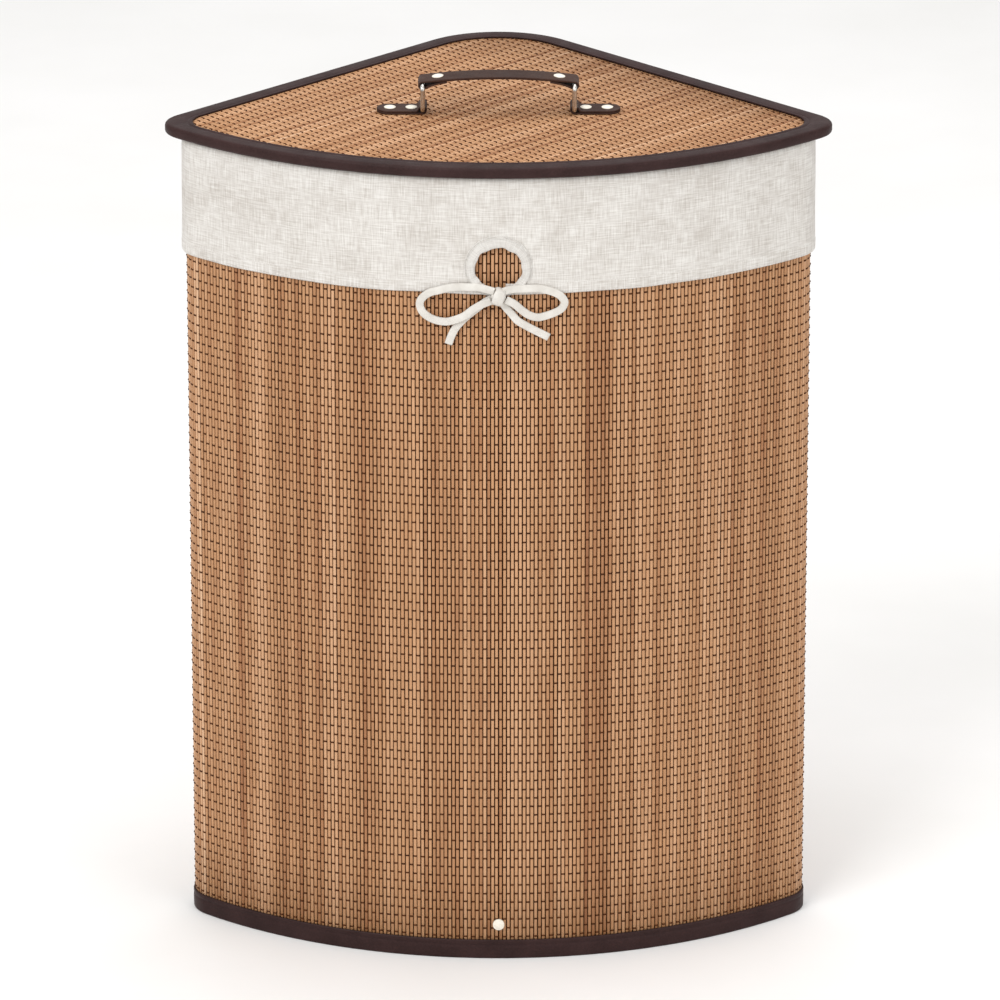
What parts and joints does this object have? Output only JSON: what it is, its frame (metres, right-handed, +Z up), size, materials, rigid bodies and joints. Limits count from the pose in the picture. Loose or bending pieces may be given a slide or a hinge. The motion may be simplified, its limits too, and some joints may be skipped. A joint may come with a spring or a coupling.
{
  "type": "corner laundry hamper with lid",
  "caption": "Quarter-round corner laundry hamper: slatted bamboo wall, removable cloth bag with a tied cuff, and a lift-off lid with a swinging strap handle.",
  "frame": {"origin": "middle of the footprint of the lid, on the floor", "axes": "+Z up; -Y is the curved front; +Y points into the room's corner; +X is right, seen from the front"},
  "size_m": [0.47, 0.3258, 0.6248],
  "materials": {
    "bamboo": "split bamboo slats woven with dark brown thread, satin",
    "backing_cloth": "non-woven cloth",
    "dark_leather": "dark brown faux leather, fine grain, satin",
    "fibreboard": "raw fibreboard",
    "pole_wood": "plain turned softwood",
    "steel": "nickel plated wire and screws",
    "cream_caps": "cream enamelled caps",
    "linen": "slubby linen and cotton cloth",
    "cotton_tape": "smooth white cotton tape"
  },
  "bodies": {
    "hamper": {"wall_mat": "bamboo", "wall_backing": "backing_cloth", "back_seam": "dark_leather", "base_binding": "dark_leather", "base_board": "fibreboard", "base_cover": "backing_cloth", "rim_frame": "fibreboard", "rim_tape": "dark_leather", "pole_left": "pole_wood", "pole_right": "pole_wood", "pole_back": "pole_wood", "base_screws": "steel", "base_screw_caps": "cream_caps"},
    "bag": {"bag_wall": "linen", "bag_floor": "linen", "bag_cuff": "linen", "cuff_hem": "linen", "keyhole_casing": "cotton_tape", "tie_knot": "cotton_tape", "tie_loop_left": "cotton_tape", "tie_loop_right": "cotton_tape", "tie_tail_left": "cotton_tape", "tie_tail_right": "cotton_tape"},
    "lid": {"lid_board": "fibreboard", "lid_mat": "bamboo", "lid_lining": "backing_cloth", "lid_binding": "dark_leather", "lid_block_left": "pole_wood", "lid_block_right": "pole_wood", "lid_block_front": "pole_wood", "tab_left": "dark_leather", "tab_right": "dark_leather", "tab_rivets_left": "cream_caps", "tab_rivets_right": "cream_caps", "rivet_washers": "steel"},
    "ring_left": {"ring_left": "steel"},
    "ring_right": {"ring_right": "steel"},
    "handle": {"handle_strap": "dark_leather", "handle_rivets": "cream_caps"}
  },
  "joints": [
    {"name": "bag_lift", "type": "slide", "parent": "hamper", "child": "bag", "axis": [0, 0, 1], "range_m": [0, 0.6]},
    {"name": "lid_lift", "type": "slide", "parent": "bag", "child": "lid", "axis": [0, 0, 1], "range_m": [0, 0.25]},
    {"name": "ring_left_swing", "type": "hinge", "parent": "lid", "child": "ring_left", "pos_m": [-0.0537, -0.02622, 0.6002], "axis": [0, 1, 0], "range_deg": [-70, 70]},
    {"name": "handle_swing", "type": "hinge", "parent": "ring_left", "child": "handle", "pos_m": [-0.0537, -0.02622, 0.6182], "axis": [0, 1, 0], "range_deg": [-70, 70]},
    {"name": "ring_right_swing", "type": "hinge", "parent": "lid", "child": "ring_right", "pos_m": [0.0537, -0.02622, 0.6002], "axis": [0, 1, 0], "range_deg": [-70, 70]}
  ],
  "couplings": [
    {"joint": "handle_swing", "follows": "ring_left_swing", "ratio": -1},
    {"joint": "ring_right_swing", "follows": "ring_left_swing", "ratio": 1}
  ]
}
